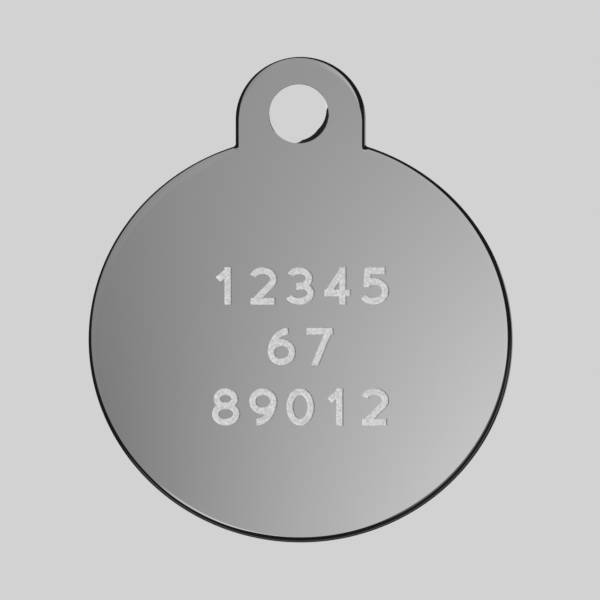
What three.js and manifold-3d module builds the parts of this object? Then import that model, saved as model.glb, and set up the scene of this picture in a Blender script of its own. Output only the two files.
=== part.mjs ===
// A pet's dog tag: one flat blank of polished steel, a round disc with an ear that carries the ring hole.
// Millimetres. The tag hangs upright, +Z up, with its engraved side towards -Y.
// The origin is the middle of the ring hole.
import * as THREE from 'three';
import { mergeVertices, toCreasedNormals } from 'three/addons/utils/BufferGeometryUtils.js';
import Module from 'manifold-3d';

// Driving dimensions
const DISC_DIAMETER = 27.0;
const SHEET_THICKNESS = 1.0;
const EAR_WIDTH = 8.2;
const HOLE_DIAMETER = 3.7;
const HOLE_ABOVE_DISC_RIM = 1.7;
const METAL_ABOVE_HOLE = 1.7;
const ROOT_FILLET_RADIUS = 0.25;
const EDGE_LAND = 0.04;
const HOLE_EDGE_BREAK = 0.06;

// How finely the round edges are divided
const CHORD_ERROR = 0.005;
const EDGE_STEPS = 6;

const STEEL_COLOUR = 0xc4c5c7;
const STEEL_ROUGHNESS = 0.12;

// Tumbling rounds the edge from both faces, down to a narrow flat land in the middle of the sheet.
const edgeRadius = (SHEET_THICKNESS - EDGE_LAND) / 2;

const wasm = await Module();
wasm.setup();

// The number of straight steps that keeps an arc within the chord error.
function arcSteps(radius, sweep) {
  const stepAngle = 2 * Math.acos(1 - CHORD_ERROR / radius);
  return Math.ceil(Math.abs(sweep) / stepAngle);
}

// The points of an arc, from one angle to another, both ends included.
function arcPoints(centre, radius, startAngle, endAngle) {
  const clockwise = endAngle < startAngle;
  const arc = new THREE.EllipseCurve(
    centre.x, centre.y, radius, radius, startAngle, endAngle, clockwise,
  );
  return arc.getPoints(arcSteps(radius, endAngle - startAngle));
}

// The blank's outline, seen from the front, anticlockwise from the right-hand root of the ear.
function blankOutline() {
  const discRadius = DISC_DIAMETER / 2;
  const earRadius = EAR_WIDTH / 2;
  const discCentre = new THREE.Vector2(0, -HOLE_ABOVE_DISC_RIM - discRadius);
  const earCentre = new THREE.Vector2(0, HOLE_DIAMETER / 2 + METAL_ABOVE_HOLE - earRadius);

  // Each root fillet touches the ear's straight side and the disc from outside.
  const filletX = earRadius + ROOT_FILLET_RADIUS;
  const filletReach = discRadius + ROOT_FILLET_RADIUS;
  const filletRise = Math.sqrt(filletReach ** 2 - filletX ** 2);
  const rightFillet = new THREE.Vector2(filletX, discCentre.y + filletRise);
  const leftFillet = new THREE.Vector2(-filletX, rightFillet.y);
  const rootAngle = Math.atan2(filletRise, filletX);

  const points = [
    ...arcPoints(earCentre, earRadius, 0, Math.PI),
    ...arcPoints(leftFillet, ROOT_FILLET_RADIUS, 0, -rootAngle),
    ...arcPoints(discCentre, discRadius, Math.PI - rootAngle, 2 * Math.PI + rootAngle),
    ...arcPoints(rightFillet, ROOT_FILLET_RADIUS, Math.PI + rootAngle, Math.PI),
  ];
  const sameAsNext = (point, index) => point.distanceTo(points[(index + 1) % points.length]) < CHORD_ERROR;
  return points.filter((point, index) => !sameAsNext(point, index));
}

// The blank, with its whole outer edge rounded front and back.
function blankGeometry() {
  const geometry = new THREE.ExtrudeGeometry(new THREE.Shape(blankOutline()), {
    depth: EDGE_LAND,
    steps: 1,
    bevelEnabled: true,
    bevelThickness: edgeRadius,
    bevelSize: edgeRadius,
    bevelOffset: -edgeRadius,
    bevelSegments: EDGE_STEPS,
  });
  geometry.translate(0, 0, edgeRadius - SHEET_THICKNESS / 2);
  return geometry;
}

// The ring hole as a spool that widens past both faces, so that it also breaks the hole's edges.
function holeGeometry() {
  const holeRadius = HOLE_DIAMETER / 2;
  const neck = SHEET_THICKNESS / 2 - HOLE_EDGE_BREAK;
  const flange = SHEET_THICKNESS / 2 + HOLE_EDGE_BREAK;
  const flangeRadius = holeRadius + 2 * HOLE_EDGE_BREAK;
  const profile = [
    new THREE.Vector2(0, -flange),
    new THREE.Vector2(flangeRadius, -flange),
    new THREE.Vector2(holeRadius, -neck),
    new THREE.Vector2(holeRadius, neck),
    new THREE.Vector2(flangeRadius, flange),
    new THREE.Vector2(0, flange),
  ];
  const geometry = new THREE.LatheGeometry(profile, arcSteps(holeRadius, 2 * Math.PI));
  geometry.rotateX(Math.PI / 2);
  return geometry;
}

function solidFrom(geometry) {
  const bare = geometry.clone();
  bare.deleteAttribute('normal');
  bare.deleteAttribute('uv');
  const merged = mergeVertices(bare);
  return new wasm.Manifold(new wasm.Mesh({
    numProp: 3,
    vertProperties: new Float32Array(merged.attributes.position.array),
    triVerts: new Uint32Array(merged.index.array),
  }));
}

function geometryFrom(solid) {
  const mesh = solid.getMesh();
  const geometry = new THREE.BufferGeometry();
  geometry.setAttribute('position', new THREE.BufferAttribute(mesh.vertProperties, 3));
  geometry.setIndex(new THREE.BufferAttribute(mesh.triVerts, 1));
  return geometry;
}

function tagPlate() {
  const pierced = solidFrom(blankGeometry()).subtract(solidFrom(holeGeometry()));
  const creaseAngle = THREE.MathUtils.degToRad(30);
  const steel = new THREE.MeshStandardMaterial({
    color: STEEL_COLOUR,
    roughness: STEEL_ROUGHNESS,
    metalness: 1,
  });
  const plate = new THREE.Mesh(toCreasedNormals(geometryFrom(pierced), creaseAngle), steel);
  plate.name = 'tag_plate';
  return plate;
}

// The blank is drawn lying down, and the tag is then stood up as it hangs.
const dogTag = new THREE.Group();
dogTag.add(tagPlate());
dogTag.rotation.x = Math.PI / 2;

export default dogTag;
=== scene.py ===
"""A polished steel dog tag that hangs upright over a pale floor and mirrors a light tent round it.

The plate is modelled again at a fine resolution, with its rounded edge, its ring hole and an engraving
of plain numbers, and it stands for the CAD node of the same shape.
"""
import math

import bmesh
import bpy
from mathutils import Matrix, Vector


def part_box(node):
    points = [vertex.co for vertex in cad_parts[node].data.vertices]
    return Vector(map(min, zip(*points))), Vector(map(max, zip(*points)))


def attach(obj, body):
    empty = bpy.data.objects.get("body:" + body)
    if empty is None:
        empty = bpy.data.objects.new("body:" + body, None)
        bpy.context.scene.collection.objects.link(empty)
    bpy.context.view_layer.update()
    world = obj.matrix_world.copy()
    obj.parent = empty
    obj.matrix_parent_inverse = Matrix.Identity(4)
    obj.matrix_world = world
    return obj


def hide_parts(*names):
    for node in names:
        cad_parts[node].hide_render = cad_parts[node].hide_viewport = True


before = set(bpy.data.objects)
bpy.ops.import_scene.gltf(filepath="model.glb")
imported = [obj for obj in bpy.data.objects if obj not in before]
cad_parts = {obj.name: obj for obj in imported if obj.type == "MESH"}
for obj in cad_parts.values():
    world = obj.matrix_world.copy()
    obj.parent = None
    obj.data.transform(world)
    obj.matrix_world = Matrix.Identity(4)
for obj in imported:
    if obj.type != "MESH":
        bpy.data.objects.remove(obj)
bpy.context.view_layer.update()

MM = 0.001  # lengths are in millimetres, and a finished piece is brought to metres

# The plate: its box is the frame's, and the other sizes are near the CAD's, fitted to the photograph
plate_low, plate_high = (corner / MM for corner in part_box("tag_plate"))
DISC_RADIUS = (plate_high.x - plate_low.x) / 2
SHEET = plate_high.y - plate_low.y
FRONT_Y = plate_low.y
DISC_CENTRE_Z = plate_low.z + DISC_RADIUS
EAR_RADIUS = 4.12
EAR_CENTRE_Z = plate_high.z - EAR_RADIUS
ROOT_FILLET = 0.25
EDGE_LAND = 0.04
EDGE_DEPTH = (SHEET - EDGE_LAND) / 2

# The disc's edge runs out softly: under this angle its radius grows, by this share at the flat face
RUNOUT_ANGLE = math.radians(15)
RUNOUT_GAIN = 1.26

# The ear's edge is crisper than the disc's: pairs, in degrees, of the place round the ear,
# from its right to its left, and the angle at which the edge leaves the face there
EAR_EDGE_STARTS = ((0, 38), (30, 28), (105, 28), (128, 48), (180, 46))
EAR_EDGE_BLEND = 2.0  # how far it fades out along the disc's rim

# The ring hole
HOLE_X = -0.112
HOLE_Z = -0.045
HOLE_RADIUS = 1.88
HOLE_TALLER = 1.037
HOLE_TAPER = 0.14  # what the radius loses through the sheet
HOLE_EDGE_BREAK = 0.03

# How finely the plate's round edges are divided
DISC_STEPS = 480
EAR_STEPS = 120
FILLET_STEPS = 10
EDGE_STEPS = 24
EDGE_CROWDING = 1.5  # more than 1 puts finer steps next to the flat face
HOLE_STEPS = 160

# What is dropped, kept sharp and kept flat in the finished mesh
SMALLEST_EDGE = 0.00001
SHARP_ANGLE = math.radians(25)
FLAT_FACING = 0.99999

# The engraving
ENGRAVED_ROWS = ("12345", "67", "89012")
CAP_HEIGHT = 2.5
STROKE = 0.46
ROW_PITCH = 4.03
FIRST_BASELINE_Z = DISC_CENTRE_Z + 2.52
NUMERAL_WIDTH = 1.34  # between the middles of the outer strokes
NUMERAL_GAP = 0.57
NUMERAL_STEPS = 40
ENGRAVING_DEPTH = 0.07
CUTTER_REACH = 0.2  # how far the cutter stands out of the face
SAME_PLACE = 0.002

# The camera: a long lens in front of the tag and above it
IMAGE_PIXELS = 600
PIXELS_PER_MM = 15.722
CAMERA_ELEVATION = math.radians(17.05)
CAMERA_DISTANCE = 1000
CAMERA_CLIP = 10
AIM_X = -0.042
AIM_ABOVE_DISC_CENTRE = 2.677

# Light and tones, as linear values
STEEL = 0.77
PALE = 0.6445
AMBIENT = 0.3
KEY_STRENGTH = 3.4
KEY_DIRECTION = Vector((0.70, -0.62, 0.35))
KEY_ANGLE = math.radians(20)


def grey(level):
    return (level, level, level, 1.0)


def camera_direction():
    """The unit vector from the tag to the camera."""
    return Vector((0, -math.cos(CAMERA_ELEVATION), math.sin(CAMERA_ELEVATION)))


class Nodes:
    """Builds one node tree, and wires sums of numbers and vectors in it."""

    def __init__(self, tree):
        self.tree = tree
        tree.nodes.clear()

    def add(self, kind, **settings):
        node = self.tree.nodes.new(kind)
        for name, value in settings.items():
            setattr(node, name, value)
        return node

    def feed(self, socket, value):
        if isinstance(value, bpy.types.NodeSocket):
            self.tree.links.new(value, socket)
        else:
            socket.default_value = value

    def math(self, operation, *values):
        node = self.add("ShaderNodeMath", operation=operation)
        for socket, value in zip(node.inputs, values):
            self.feed(socket, value)
        return node.outputs[0]

    def plus(self, *terms):
        total = terms[0]
        for term in terms[1:]:
            total = self.math("ADD", total, term)
        return total

    def times(self, *factors):
        product = factors[0]
        for factor in factors[1:]:
            product = self.math("MULTIPLY", product, factor)
        return product

    def length(self, x, y):
        return self.math("SQRT", self.plus(self.times(x, x), self.times(y, y)))

    def dot(self, vector, axis):
        node = self.add("ShaderNodeVectorMath", operation="DOT_PRODUCT")
        self.feed(node.inputs[0], vector)
        node.inputs[1].default_value = axis
        return node.outputs["Value"]

    def ramp(self, value, low, high, to_low, to_high):
        """A smooth step from to_low to to_high as value goes from low to high."""
        node = self.add("ShaderNodeMapRange", interpolation_type="SMOOTHSTEP")
        self.feed(node.inputs["Value"], value)
        node.inputs["From Min"].default_value = low
        node.inputs["From Max"].default_value = high
        node.inputs["To Min"].default_value = to_low
        node.inputs["To Max"].default_value = to_high
        return node.outputs["Result"]

    def noise(self, place, scale, detail=2.0):
        node = self.add("ShaderNodeTexNoise")
        node.inputs["Scale"].default_value = scale
        node.inputs["Detail"].default_value = detail
        self.feed(node.inputs["Vector"], place)
        return node.outputs["Fac"]

    def stretched(self, place, scale, turn=0.0):
        """The place, turned about Y and then scaled along each axis."""
        node = self.add("ShaderNodeMapping")
        node.inputs["Scale"].default_value = scale
        node.inputs["Rotation"].default_value = (0.0, turn, 0.0)
        self.feed(node.inputs["Vector"], place)
        return node.outputs["Vector"]


def new_material(name):
    material = bpy.data.materials.new(name)
    material.use_nodes = True
    return material, Nodes(material.node_tree)


def new_surface(name):
    """A material with one shader, and the place on the object that its textures read."""
    material, nodes = new_material(name)
    output = nodes.add("ShaderNodeOutputMaterial")
    shader = nodes.add("ShaderNodeBsdfPrincipled")
    nodes.feed(output.inputs["Surface"], shader.outputs["BSDF"])
    place = nodes.add("ShaderNodeTexCoord").outputs["Object"]
    return material, nodes, shader, place


# Materials. The scales of their textures are per metre.
NOISE_RANGE = (0.3, 0.7)  # the levels between which most of a noise lies
CLOUD_SCALE = 260.0
CLOUD_DETAIL = 4.0
CLOUD_ROUGHNESS = (0.045, 0.07)
HAIRLINE_SCALE = (9000.0, 400.0, 160.0)
HAIRLINE_TURN = math.radians(38)
HAIRLINE_RANGE = (0.62, 0.8)
HAIRLINE_ROUGHNESS = 0.05
PUNCH_LINE_SCALE = (9000.0, 300.0, 9000.0)
PUNCHED_ROUGHNESS = (0.05, 0.1)
GRAIN_SCALE = 8000.0
GRAIN_DARK = 0.52
GRAIN_BRIGHT = 0.77
FROST_METALLIC = 0.1
FROST_ROUGHNESS = 0.65
PIT_STRENGTH = 0.3
PIT_DEPTH = 0.02


def polished_steel():
    """Mirror-polished steel, with the faint cloudiness and hairlines that a buffing wheel leaves."""
    material, nodes, steel, place = new_surface("buffed_steel")
    steel.inputs["Base Color"].default_value = grey(STEEL)
    steel.inputs["Metallic"].default_value = 1.0
    cloud = nodes.ramp(nodes.noise(place, CLOUD_SCALE, CLOUD_DETAIL), *NOISE_RANGE, *CLOUD_ROUGHNESS)
    buffed = nodes.stretched(place, HAIRLINE_SCALE, HAIRLINE_TURN)
    hairlines = nodes.ramp(nodes.noise(buffed, 1.0, 1.0), *HAIRLINE_RANGE, 0.0, HAIRLINE_ROUGHNESS)
    nodes.feed(steel.inputs["Roughness"], nodes.plus(cloud, hairlines))
    return material


def punched_wall():
    """The hole's wall: tumbled bright, with faint lines along the way that the punch went."""
    material, nodes, wall, place = new_surface("punched_wall")
    wall.inputs["Base Color"].default_value = grey(STEEL)
    wall.inputs["Metallic"].default_value = 1.0
    lines = nodes.noise(nodes.stretched(place, PUNCH_LINE_SCALE), 1.0)
    nodes.feed(wall.inputs["Roughness"], nodes.ramp(lines, *NOISE_RANGE, *PUNCHED_ROUGHNESS))
    return material


def frosted_cut():
    """The engraving: steel broken up into fine bright grains."""
    material, nodes, frost, place = new_surface("frosted_cut")
    grain = nodes.noise(place, GRAIN_SCALE)
    shade = nodes.add("ShaderNodeValToRGB")
    stops = zip(shade.color_ramp.elements, NOISE_RANGE, (GRAIN_DARK, GRAIN_BRIGHT))
    for stop, position, level in stops:
        stop.position = position
        stop.color = grey(level)
    nodes.feed(shade.inputs["Fac"], grain)
    nodes.feed(frost.inputs["Base Color"], shade.outputs["Color"])
    frost.inputs["Metallic"].default_value = FROST_METALLIC
    frost.inputs["Roughness"].default_value = FROST_ROUGHNESS
    pitting = nodes.add("ShaderNodeBump")
    pitting.inputs["Strength"].default_value = PIT_STRENGTH
    pitting.inputs["Distance"].default_value = PIT_DEPTH * MM
    nodes.feed(pitting.inputs["Height"], grain)
    nodes.feed(frost.inputs["Normal"], pitting.outputs["Normal"])
    return material


# The plate. The points of its outline are (x, z) on the front.


def arc(centre_x, centre_z, radius, start, end, steps, outward=1):
    """Points along an arc, each with the direction that leads out of the metal there."""
    samples = []
    for step in range(steps + 1):
        angle = start + (end - start) * step / steps
        along = Vector((math.cos(angle), math.sin(angle)))
        samples.append((Vector((centre_x, centre_z)) + radius * along, outward * along))
    return samples


def plate_outline():
    """The blank's outline from the front, anticlockwise from the right-hand end of the ear's arc."""
    fillet_x = EAR_RADIUS + ROOT_FILLET
    rise = math.sqrt((DISC_RADIUS + ROOT_FILLET) ** 2 - fillet_x ** 2)
    fillet_z = DISC_CENTRE_Z + rise
    root = math.atan2(rise, fillet_x)
    ear = arc(0, EAR_CENTRE_Z, EAR_RADIUS, 0, math.pi, EAR_STEPS)
    left_root = arc(-fillet_x, fillet_z, ROOT_FILLET, 0, -root, FILLET_STEPS, outward=-1)
    disc = arc(0, DISC_CENTRE_Z, DISC_RADIUS, math.pi - root, 2 * math.pi + root, DISC_STEPS)
    right_root = arc(fillet_x, fillet_z, ROOT_FILLET, math.pi + root, math.pi, FILLET_STEPS, outward=-1)
    return ear + left_root[:-1] + disc + right_root[1:]


def edge_profile(start):
    """The rounded edge from the front face to the back face, as steps of (inset, depth).

    It leaves the face at the start angle, and runs out into it where that angle is small.
    """
    shares = [(step / EDGE_STEPS) ** EDGE_CROWDING for step in range(EDGE_STEPS + 1)]
    angles = [start + (math.pi / 2 - start) * share for share in shares]
    walked = [Vector((0, 0))]
    for angle, following in zip(angles, angles[1:]):
        middle = (angle + following) / 2
        runout = RUNOUT_GAIN * max(0, 1 - middle / RUNOUT_ANGLE) ** 2
        length = (1 + runout) * (following - angle)
        walked.append(walked[-1] + length * Vector((math.cos(middle), math.sin(middle))))
    scale = EDGE_DEPTH / walked[-1].y
    front = [Vector((walked[-1].x - place.x, place.y)) * scale for place in walked]
    back = [Vector((step.x, SHEET - step.y)) for step in reversed(front)]
    return front + back


def between(table, place):
    """A table's value at a place, in straight steps from row to row."""
    for (start, low), (end, high) in zip(table, table[1:]):
        if place <= end:
            return low + (high - low) * (place - start) / (end - start)
    return table[-1][1]


def edge_start(point):
    """The angle at which the edge leaves the face: 0 on the disc, and steep all round the ear."""
    if point.y < DISC_CENTRE_Z:
        return 0
    way = math.degrees(math.atan2(max(point.y - EAR_CENTRE_Z, 0), point.x))
    away = (abs(point.x) - EAR_RADIUS) / EAR_EDGE_BLEND
    return math.radians(between(EAR_EDGE_STARTS, way)) * (1 - min(max(away, 0), 1))


def join_rings(mesh, rings):
    """Skins closed rings of as many vertices each, and closes both ends with a flat face."""
    for upper, lower in zip(rings, rings[1:]):
        for index, vertex in enumerate(upper):
            following = (index + 1) % len(upper)
            mesh.faces.new((vertex, lower[index], lower[following], upper[following]))
    mesh.faces.new(rings[0])
    mesh.faces.new(reversed(rings[-1]))
    bmesh.ops.recalc_face_normals(mesh, faces=mesh.faces)


def object_from(mesh, name, *materials):
    data = bpy.data.meshes.new(name)
    mesh.to_mesh(data)
    mesh.free()
    for material in materials:
        data.materials.append(material)
    piece = bpy.data.objects.new(name, data)
    bpy.context.scene.collection.objects.link(piece)
    return piece


def plate_blank(steel):
    """The blank, with the edge's profile stood at each point of its outline."""
    mesh = bmesh.new()
    columns = []
    for point, outward in plate_outline():
        column = []
        for inset, depth in edge_profile(edge_start(point)):
            place = point - inset * outward
            column.append(mesh.verts.new((place.x, FRONT_Y + depth, place.y)))
        columns.append(column)
    join_rings(mesh, list(zip(*columns)))
    return object_from(mesh, "tag_plate_finished", steel)


def hole_cutter(wall):
    """A tapered spool along Y that widens past both faces, so that it also breaks the hole's edges."""
    neck = SHEET / 2 - HOLE_EDGE_BREAK
    flange = SHEET / 2 + HOLE_EDGE_BREAK
    back_radius = HOLE_RADIUS - HOLE_TAPER
    sections = (
        (-flange, HOLE_RADIUS + 2 * HOLE_EDGE_BREAK),
        (-neck, HOLE_RADIUS),
        (neck, back_radius),
        (flange, back_radius + 2 * HOLE_EDGE_BREAK),
    )
    mesh = bmesh.new()
    rings = []
    for y, radius in sections:
        ring = []
        for step in range(HOLE_STEPS):
            angle = 2 * math.pi * step / HOLE_STEPS
            x = HOLE_X + radius * math.cos(angle)
            z = HOLE_Z + radius * HOLE_TALLER * math.sin(angle)
            ring.append(mesh.verts.new((x, y, z)))
        rings.append(ring)
    join_rings(mesh, rings)
    return object_from(mesh, "hole_cutter", wall)


# The engraving: numerals of strokes that are all as wide, in a box one wide and one high.
# The box runs along the middles of the outer strokes, so the numerals stand on FOOT and end at HEAD.
HALF_STROKE = STROKE / 2 / (CAP_HEIGHT - STROKE)
FOOT = -HALF_STROKE
HEAD = 1 + HALF_STROKE


def ellipse(centre, radii, start=0, end=360):
    """Points of an elliptical arc, with the angles in degrees. A whole one ends where it starts."""
    points = []
    for step in range(NUMERAL_STEPS + 1):
        angle = math.radians(start + (end - start) * step / NUMERAL_STEPS)
        points.append((centre[0] + radii[0] * math.cos(angle), centre[1] + radii[1] * math.sin(angle)))
    return points


def half_turn(stroke):
    return [(1 - x, 1 - y) for x, y in stroke]


def numeral_strokes():
    """The centre lines of each numeral's strokes."""
    ring = ellipse((0.5, 0.315), (0.5, 0.315))
    tail = ellipse((0.86, 0.315), (0.86, 0.685), 180, 92)
    return {
        "0": [ellipse((0.5, 0.5), (0.5, 0.5))],
        "1": [[(0.6, FOOT), (0.6, HEAD)], [(0.6, 0.98), (0.12, 0.70)]],
        "2": [ellipse((0.5, 0.72), (0.5, 0.28), 160, -40) + [(0.10, 0.0)], [(-0.1, 0.0), (1.08, 0.0)]],
        "3": [
            ellipse((0.46, 0.745), (0.46, 0.255), 155, -90) + [(0.3, 0.49)],
            ellipse((0.46, 0.265), (0.54, 0.265), 90, -155),
        ],
        "4": [[(0.74, FOOT), (0.74, HEAD)], [(0.74, 1.0), (0.04, 0.27)], [(-0.14, 0.27), (1.12, 0.27)]],
        "5": [[(1.0, 1.0), (0.17, 1.0), (0.11, 0.46)], ellipse((0.45, 0.325), (0.55, 0.325), 128, -150)],
        "6": [ring, tail],
        "7": [[(-0.1, 1.0), (1.18, 1.0)], [(0.97, 1.0), (0.30, FOOT)]],
        "8": [ellipse((0.5, 0.275), (0.5, 0.275)), ellipse((0.5, 0.765), (0.42, 0.235))],
        "9": [half_turn(ring), half_turn(tail)],
    }


def stroke_sides(line, closed, level_heights):
    """The left and right sides of a stroke, mitred at its corners.

    An end of it is square, or level where it lies at one of the level heights.
    """
    count = len(line)
    sides = []
    for index, point in enumerate(line):
        is_start = not closed and index == 0
        is_end = not closed and index == count - 1
        into = None if is_start else (point - line[index - 1]).normalized()
        out_of = into if is_end else (line[(index + 1) % count] - point).normalized()
        into = into or out_of
        at_level = any(abs(point.y - height) < SAME_PLACE for height in level_heights)
        if (is_start or is_end) and at_level:
            left = Vector((-STROKE / 2 / into.y, 0))
        else:
            mitre = (into + out_of).normalized()
            left = Vector((-mitre.y, mitre.x)) * STROKE / 2 / mitre.dot(into)
        sides.append((point + left, point - left))
    return sides


def stroke_solid(mesh, sides, closed):
    """Adds a stroke as a solid that reaches from the engraving's floor to past the front face."""
    top = FRONT_Y - CUTTER_REACH
    floor = FRONT_Y + ENGRAVING_DEPTH
    sections = []
    for left, right in sides:
        corners = ((left, top), (right, top), (right, floor), (left, floor))
        sections.append([mesh.verts.new((point.x, y, point.y)) for point, y in corners])
    pairs = list(zip(sections, sections[1:]))
    if closed:
        pairs.append((sections[-1], sections[0]))
    else:
        mesh.faces.new(sections[0])
        mesh.faces.new(reversed(sections[-1]))
    for first, second in pairs:
        for corner in range(4):
            following = (corner + 1) % 4
            mesh.faces.new((first[corner], second[corner], second[following], first[following]))


def numeral_lines(text, baseline):
    """The centre lines of a centred row of numerals, in millimetres on the front face."""
    strokes = numeral_strokes()
    pitch = NUMERAL_WIDTH + STROKE + NUMERAL_GAP
    start = -(pitch * len(text) - NUMERAL_GAP) / 2 + STROKE / 2
    foot = baseline + STROKE / 2
    height = CAP_HEIGHT - STROKE
    lines = []
    for place, numeral in enumerate(text):
        left = start + place * pitch
        for stroke in strokes[numeral]:
            lines.append([Vector((left + x * NUMERAL_WIDTH, foot + y * height)) for x, y in stroke])
    return lines


def engraving_cutter(frost):
    """All the rows of numerals as one cutter, whose strokes overlap where they meet."""
    mesh = bmesh.new()
    for index, text in enumerate(ENGRAVED_ROWS):
        baseline = FIRST_BASELINE_Z - index * ROW_PITCH
        for line in numeral_lines(text, baseline):
            closed = (line[0] - line[-1]).length < SAME_PLACE
            points = line[:-1] if closed else line
            sides = stroke_sides(points, closed, (baseline, baseline + CAP_HEIGHT))
            stroke_solid(mesh, sides, closed)
    bmesh.ops.recalc_face_normals(mesh, faces=mesh.faces)
    return object_from(mesh, "engraving_cutter", frost)


def cut(piece, cutters):
    """Subtracts the cutters from the piece for good. A cut face keeps its cutter's material."""
    for cutter in cutters:
        difference = piece.modifiers.new(cutter.name, "BOOLEAN")
        difference.operation = "DIFFERENCE"
        difference.solver = "EXACT"
        difference.object = cutter
        difference.material_mode = "TRANSFER"
        difference.use_self = True
    bpy.context.view_layer.update()
    evaluated = piece.evaluated_get(bpy.context.evaluated_depsgraph_get())
    finished = bpy.data.meshes.new_from_object(evaluated)
    piece.modifiers.clear()
    piece.data = finished
    for cutter in cutters:
        bpy.data.objects.remove(cutter)


def finish_faces(data):
    """Drops faces without area, keeps corners sharp and flat faces flat, and smooths the round ones."""
    mesh = bmesh.new()
    mesh.from_mesh(data)
    bmesh.ops.dissolve_degenerate(mesh, edges=mesh.edges, dist=SMALLEST_EDGE)
    mesh.to_mesh(data)
    mesh.free()
    data.set_sharp_from_angle(angle=SHARP_ANGLE)
    for face in data.polygons:
        face.use_smooth = abs(face.normal.y) < FLAT_FACING


def tag_plate():
    plate = plate_blank(polished_steel())
    cut(plate, [hole_cutter(punched_wall()), engraving_cutter(frosted_cut())])
    finish_faces(plate.data)
    for vertex in plate.data.vertices:
        vertex.co *= MM
    return plate


# The light tent: a dome round the tag that only the polished steel mirrors.
# The flat face mirrors its middle, and the rounded edge mirrors the rest of it.
# A WAY is a clock angle round the middle, from the right by way of the foot.
# A SPREAD is the pair of cosines of the angle to a WAY between which its effect goes from none to full.
TENT_RADIUS = 120
TENT_SEGMENTS = 64
TENT_RINGS = 32

# What the flat face shows: in its middle, and what comes on top at its right, at its foot and at both
FACE_MIDDLE = 0.358
FACE_RIGHT = 0.162
FACE_FOOT = 0.050
FACE_CORNER = 0.081

# Between these cosines towards the foot, the face's end goes over from the ear's to the disc's
EAR_SPREAD = (-0.97, -0.9)

# The lit wall ends close to the middle near the foot, and further and further out towards the other side
DARK_WAY = math.radians(74)
RIM_MEAN = math.radians(68)
RIM_SWING = math.radians(86.6)
RIM_LEAST = math.radians(11.3)
RIM_ROUNDING = math.radians(52.7)
RIM_BLUR = 0.04
DARK = 0.01

# At the lower right it ends a little sooner and then fades
FADE_WAY = math.radians(40)
FADE_SPREAD = (0.85, 0.97)
FADE_RETREAT = math.radians(3)
FADE_LEVEL = 0.28
FADE_REACH = 0.45

# A faint line runs through the dark
LINE_SPREAD = (0.4, 0.6)
LINE_START = math.radians(63)
LINE_END = math.radians(86)
LINE_LEVEL = 0.065

# At the lower left the wall reaches a little further, and it ends there in a brighter hem
FOOT_WAY = math.radians(119)
FOOT_SPREAD = (0.95, 1.0)
FOOT_REACH = math.radians(8)
HEM_WAY = math.radians(112)
HEM_SPREAD = (0.93, 0.975)
HEM_START = math.radians(8)
HEM_FULL = math.radians(11)
HEM_GAIN = 0.8

# At the upper left the wall is a little brighter away from the middle
GAIN_WAY = math.radians(210)
GAIN_SPREAD = (0.3, 0.8)
GAIN_START = math.radians(8.5)
GAIN_FULL = math.radians(18)
GAIN = 0.07

# Behind the tag, a grey panel for the tag's back
BACK_PANEL_DIRECTION = Vector((0.68, 0.68, -0.26)).normalized()
BACK_PANEL_INNER = math.cos(math.radians(11))
BACK_PANEL_OUTER = math.cos(math.radians(18))
BACK_PANEL_MIDDLE = 0.32
BACK_PANEL_LEFT = 0.7  # what comes on top for each radian towards -X


def tent_axes():
    """The tent's middle, which the flat face mirrors to the camera, and the right and the foot there."""
    towards_camera = camera_direction()
    middle = Vector((-towards_camera.x, towards_camera.y, -towards_camera.z))
    right = Vector((0, 0, 1)).cross(middle).normalized()
    return middle, right, right.cross(middle)


class Bearing:
    """A direction from the tent's centre: how far it leads from the tent's middle, and to which side."""

    def __init__(self, nodes, way):
        middle, self.right, self.foot = tent_axes()
        self.nodes = nodes
        self.way = way
        self.across = nodes.dot(way, self.right)
        self.down = nodes.dot(way, self.foot)
        self.sideways = nodes.length(self.across, self.down)
        self.angle = nodes.math("ARCTAN2", self.sideways, nodes.dot(way, middle))

    def leaning(self, clock_angle):
        """1 in the directions that lead from the middle at this angle, and less to both sides of it."""
        towards = self.right * math.cos(clock_angle) + self.foot * math.sin(clock_angle)
        return self.nodes.math("DIVIDE", self.nodes.dot(self.way, towards), self.sideways)

    def near(self, clock_angle, spread, full=1.0):
        """Full in the directions that lead from the middle near this angle, and 0 in the others."""
        return self.nodes.ramp(self.leaning(clock_angle), *spread, 0.0, full)


def face_level(nodes, bearing):
    """The level that the flat face shows. Past the face it stays as it is at the face's end."""
    span = DISC_RADIUS / TENT_RADIUS + DISC_RADIUS / CAMERA_DISTANCE
    u = nodes.times(bearing.across, 1 / span)
    v = nodes.times(bearing.down, 1 / (span * math.cos(CAMERA_ELEVATION)))
    radii = nodes.length(u, v)
    ear_reach = (plate_high.z - DISC_CENTRE_Z) / DISC_RADIUS
    reach = nodes.ramp(nodes.math("DIVIDE", v, radii), *EAR_SPREAD, ear_reach, 1.0)
    u = nodes.math("DIVIDE", u, nodes.math("MAXIMUM", radii, 1.0))
    v = nodes.math("DIVIDE", v, nodes.math("MAXIMUM", nodes.math("DIVIDE", radii, reach), 1.0))
    return nodes.plus(
        nodes.times(u, FACE_RIGHT),
        nodes.times(v, FACE_FOOT),
        nodes.times(u, v, FACE_CORNER),
        FACE_MIDDLE,
    )


def wall_rim(nodes, bearing, at_right):
    """The angle from the middle at which the lit wall ends."""
    swing = nodes.plus(nodes.times(bearing.leaning(DARK_WAY), -RIM_SWING), RIM_MEAN)
    return nodes.plus(
        nodes.math("SMOOTH_MAX", swing, RIM_LEAST, RIM_ROUNDING),
        bearing.near(FOOT_WAY, FOOT_SPREAD, FOOT_REACH),
        nodes.times(at_right, -FADE_RETREAT),
    )


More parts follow.
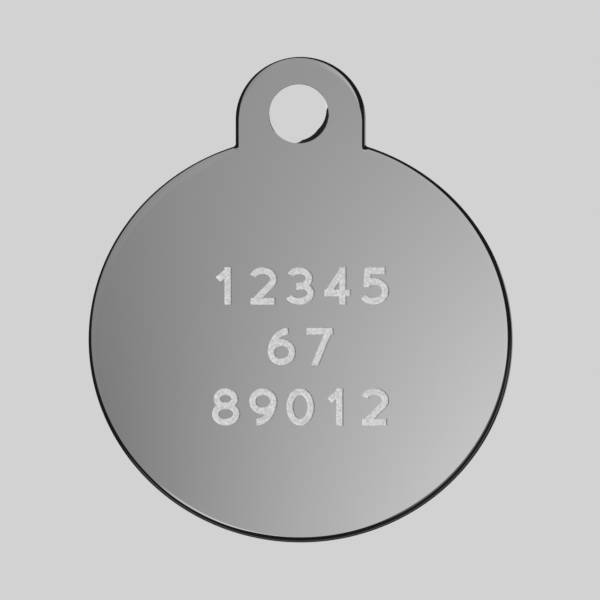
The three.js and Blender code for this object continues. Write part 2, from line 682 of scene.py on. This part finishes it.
def wall_share(nodes, bearing):
    """1 on the lit wall and 0 past its rim, with the stretch that fades in between."""
    at_right = bearing.near(FADE_WAY, FADE_SPREAD)
    past = nodes.math("SUBTRACT", bearing.angle, wall_rim(nodes, bearing, at_right))
    lit = nodes.ramp(past, -RIM_BLUR, RIM_BLUR, 1.0, 0.0)
    fade = nodes.times(nodes.ramp(past, 0.0, FADE_REACH, FADE_LEVEL, 0.0), at_right)
    return nodes.math("MAXIMUM", lit, fade)


def wall_gain(nodes, bearing):
    """How many times as bright as elsewhere the wall is in its hem and at the upper left."""
    hem = nodes.times(
        bearing.near(HEM_WAY, HEM_SPREAD, HEM_GAIN),
        nodes.ramp(bearing.angle, HEM_START, HEM_FULL, 0.0, 1.0),
    )
    upper_left = nodes.times(
        bearing.near(GAIN_WAY, GAIN_SPREAD, GAIN),
        nodes.ramp(bearing.angle, GAIN_START, GAIN_FULL, 0.0, 1.0),
    )
    return nodes.plus(hem, upper_left, 1.0)


def line_level(nodes, bearing):
    return nodes.times(
        nodes.ramp(bearing.angle, LINE_START, LINE_START + 2 * RIM_BLUR, 0.0, LINE_LEVEL),
        nodes.ramp(bearing.angle, LINE_END, LINE_END + 2 * RIM_BLUR, 1.0, 0.0),
        bearing.near(DARK_WAY, LINE_SPREAD),
    )


def back_panel_level(nodes, way):
    nearness = nodes.dot(way, BACK_PANEL_DIRECTION)
    left = BACK_PANEL_DIRECTION.cross(Vector((0, 0, -1))).normalized()
    slope = nodes.plus(nodes.times(nodes.dot(way, left), BACK_PANEL_LEFT), BACK_PANEL_MIDDLE)
    return nodes.times(nodes.ramp(nearness, BACK_PANEL_OUTER, BACK_PANEL_INNER, 0.0, 1.0), slope)


def tent_level(nodes, way):
    """The tent's glow in a direction from its centre: the lightest of its parts there."""
    bearing = Bearing(nodes, way)
    level = nodes.times(
        face_level(nodes, bearing),
        wall_share(nodes, bearing),
        wall_gain(nodes, bearing),
    )
    for other in (line_level(nodes, bearing), back_panel_level(nodes, way), DARK):
        level = nodes.math("MAXIMUM", level, other)
    return nodes.times(level, 1 / STEEL)


def glow_in_metal(prop, nodes, level):
    """Lets a prop glow where the metal mirrors it, and hides it from everything else."""
    glow = nodes.add("ShaderNodeEmission")
    nodes.feed(glow.inputs["Strength"], level)
    output = nodes.add("ShaderNodeOutputMaterial")
    nodes.feed(output.inputs["Surface"], glow.outputs["Emission"])
    prop.active_material.cycles.emission_sampling = "NONE"
    for kind in ("camera", "diffuse", "transmission", "volume_scatter", "shadow"):
        setattr(prop, "visible_" + kind, False)


def light_tent():
    mesh = bmesh.new()
    bmesh.ops.create_uvsphere(
        mesh, u_segments=TENT_SEGMENTS, v_segments=TENT_RINGS, radius=TENT_RADIUS * MM,
    )
    material, nodes = new_material("light_tent")
    tent = object_from(mesh, "light_tent", material)
    tent.location.z = DISC_CENTRE_Z * MM
    way = nodes.add("ShaderNodeVectorMath", operation="NORMALIZE")
    nodes.feed(way.inputs[0], nodes.add("ShaderNodeTexCoord").outputs["Object"])
    glow_in_metal(tent, nodes, tent_level(nodes, way.outputs["Vector"]))


# The hole's card: a glowing disc just behind the hole's back, which only the hole's wall mirrors. Its
# glow is a painted reflection, which draws the dark crescent on the hole's wall.
# It glows pale, a little less so on the far left.
# Its lower right is dark, a painted dark reflection: inside a copy of the card that is shifted to the
# upper right, to the right of one leaning line and below another.
CARD_ACROSS = HOLE_RADIUS - HOLE_TAPER
CARD_UP = CARD_ACROSS * HOLE_TALLER
CARD_BEHIND = 0.02
CARD_SHIFT_X = 0.324
CARD_SHIFT_Z = 0.274
CARD_LEFT = -1.37
CARD_LEFT_LEAN = 0.998
CARD_TOP = 4.25
CARD_TOP_LEAN = 2.5
CARD_BLUR = 0.02
CARD_TOP_BLUR = 0.1
CARD_DARK = 0.022
CARD_PALE = 0.97
CARD_FAR_LEFT = 0.87
CARD_FAR_LEFT_RANGE = (-1.75, -1.0)


def card_share(nodes, place):
    """How bright the card glows, by the place on it in millimetres: the painted reflection that the
    hole's wall shows.
    """
    x = nodes.dot(place, Vector((1, 0, 0)) / MM)
    z = nodes.dot(place, Vector((0, 0, 1)) / MM)
    shifted_x = nodes.times(nodes.plus(x, -CARD_SHIFT_X), 1 / CARD_ACROSS)
    shifted_z = nodes.times(nodes.plus(z, -CARD_SHIFT_Z), 1 / CARD_UP)
    outwards = nodes.times(nodes.length(shifted_x, shifted_z), CARD_ACROSS)
    rightwards = nodes.plus(x, nodes.times(z, CARD_LEFT_LEAN))
    upwards = nodes.plus(z, nodes.times(x, CARD_TOP_LEAN))
    # The dark part is a painted dark reflection: the crescent that the hole's wall shows
    dark = nodes.times(
        nodes.ramp(outwards, CARD_ACROSS - CARD_BLUR, CARD_ACROSS + CARD_BLUR, 1.0, 0.0),
        nodes.ramp(rightwards, CARD_LEFT - CARD_BLUR, CARD_LEFT + CARD_BLUR, 0.0, 1.0),
        nodes.ramp(upwards, CARD_TOP - CARD_TOP_BLUR, CARD_TOP + CARD_TOP_BLUR, 1.0, 0.0),
    )
    pale = nodes.ramp(x, *CARD_FAR_LEFT_RANGE, CARD_FAR_LEFT, CARD_PALE)
    return nodes.math("MAXIMUM", nodes.times(nodes.ramp(dark, 0.0, 1.0, 1.0, 0.0), pale), CARD_DARK)


def hole_card():
    mesh = bmesh.new()
    bmesh.ops.create_circle(mesh, cap_ends=True, segments=HOLE_STEPS, radius=CARD_ACROSS * MM)
    bmesh.ops.scale(mesh, verts=mesh.verts, vec=(1, HOLE_TALLER, 1))
    bmesh.ops.rotate(mesh, verts=mesh.verts, matrix=Matrix.Rotation(math.pi / 2, 3, "X"))
    material, nodes = new_material("hole_card")
    card = object_from(mesh, "hole_card", material)
    card.location = Vector((HOLE_X, FRONT_Y + SHEET + CARD_BEHIND, HOLE_Z)) * MM
    place = nodes.add("ShaderNodeTexCoord").outputs["Object"]
    glow_in_metal(card, nodes, nodes.times(card_share(nodes, place), PALE / STEEL))


# The room
FLOOR_UNDER_TENT = 5
FLOOR_Z = DISC_CENTRE_Z - TENT_RADIUS - FLOOR_UNDER_TENT
FLOOR_REACH = 4000
FLOOR_MATT_SHARE = 0.2


def seen_directly(nodes):
    """1 for what the camera sees, also in metal and through glass, and 0 for light on other surfaces."""
    path = nodes.add("ShaderNodeLightPath")
    seen = nodes.math("MAXIMUM", path.outputs["Is Camera Ray"], path.outputs["Is Glossy Ray"])
    return nodes.math("MAXIMUM", seen, path.outputs["Is Transmission Ray"])


def pale_floor():
    """A wide pale floor. Seen directly, most of it glows by itself, and the rest keeps the shadow."""
    mesh = bmesh.new()
    bmesh.ops.create_grid(mesh, x_segments=1, y_segments=1, size=FLOOR_REACH * MM)
    material, nodes = new_material("pale_floor")
    floor = object_from(mesh, "floor", material)
    floor.location.z = FLOOR_Z * MM

    matt = nodes.add("ShaderNodeBsdfDiffuse")
    matt.inputs["Color"].default_value = grey(PALE)
    light = AMBIENT + KEY_STRENGTH * KEY_DIRECTION.normalized().z / math.pi
    glow = nodes.add("ShaderNodeEmission")
    glow.inputs["Color"].default_value = grey(PALE)
    glow.inputs["Strength"].default_value = (1 - FLOOR_MATT_SHARE * light) / (1 - FLOOR_MATT_SHARE)
    mix = nodes.add("ShaderNodeMixShader")
    nodes.feed(mix.inputs["Fac"], nodes.times(seen_directly(nodes), 1 - FLOOR_MATT_SHARE))
    nodes.feed(mix.inputs[1], matt.outputs["BSDF"])
    nodes.feed(mix.inputs[2], glow.outputs["Emission"])
    output = nodes.add("ShaderNodeOutputMaterial")
    nodes.feed(output.inputs["Surface"], mix.outputs["Shader"])


def pale_world():
    world = bpy.data.worlds.new("pale_room")
    bpy.context.scene.world = world
    world.use_nodes = True
    nodes = Nodes(world.node_tree)
    sky = nodes.add("ShaderNodeBackground")
    sky.inputs["Color"].default_value = grey(1.0)
    nodes.feed(sky.inputs["Strength"], nodes.ramp(seen_directly(nodes), 0.0, 1.0, AMBIENT, PALE))
    output = nodes.add("ShaderNodeOutputWorld")
    nodes.feed(output.inputs["Surface"], sky.outputs["Background"])


def key_light():
    """A soft lamp in front on the right."""
    lamp = bpy.data.lights.new("key", "SUN")
    lamp.energy = KEY_STRENGTH
    lamp.angle = KEY_ANGLE
    key = bpy.data.objects.new("key", lamp)
    bpy.context.scene.collection.objects.link(key)
    key.rotation_mode = "QUATERNION"
    key.rotation_quaternion = KEY_DIRECTION.to_track_quat("Z", "Y")
    key.visible_glossy = False


def photograph_camera():
    data = bpy.data.cameras.new("camera")
    camera = bpy.data.objects.new("camera", data)
    bpy.context.scene.collection.objects.link(camera)
    frame_width = IMAGE_PIXELS / PIXELS_PER_MM
    data.lens = data.sensor_width * CAMERA_DISTANCE / frame_width
    data.clip_start = CAMERA_CLIP * MM
    aim = Vector((AIM_X, 0, DISC_CENTRE_Z + AIM_ABOVE_DISC_CENTRE))
    camera.location = (aim + camera_direction() * CAMERA_DISTANCE) * MM
    camera.rotation_mode = "QUATERNION"
    camera.rotation_quaternion = camera_direction().to_track_quat("Z", "Y")
    bpy.context.scene.camera = camera


def build():
    plate = tag_plate()
    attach(plate, "root")
    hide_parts("tag_plate")
    light_tent()
    hole_card()
    pale_floor()
    pale_world()
    key_light()
    photograph_camera()
    bpy.context.scene.view_settings.view_transform = "Standard"


build()
